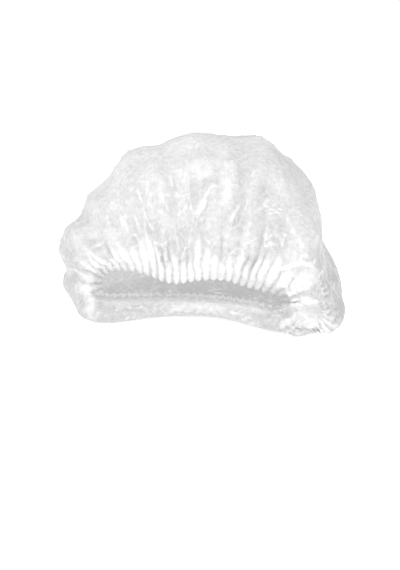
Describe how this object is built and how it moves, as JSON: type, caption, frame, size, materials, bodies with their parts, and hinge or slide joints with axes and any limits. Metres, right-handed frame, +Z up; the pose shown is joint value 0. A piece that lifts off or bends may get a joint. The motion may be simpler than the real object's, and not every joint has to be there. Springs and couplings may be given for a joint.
{
  "type": "bouffant cap",
  "caption": "Puffed bag of thin gathered nonwoven cloth with a slit mouth: a crown of long folds, a pleated turned hem and an elastic loop in it.",
  "frame": {"origin": "on the surface that the cap rests on, under the middle of its own box", "axes": "+Z up through the crown, -Y out of the mouth towards the viewer, +X to the viewer's right along the cap's longest side"},
  "size_m": [0.27, 0.2246, 0.1624],
  "materials": {
    "nonwoven_cloth": "white see-through spunbond polypropylene, crumpled",
    "hem_cloth": "white spunbond polypropylene in gathered layers",
    "elastic_band": "white covered elastic, matt"
  },
  "bodies": {
    "root": {"crown": "nonwoven_cloth", "hem": "hem_cloth", "elastic": "elastic_band"}
  },
  "joints": []
}
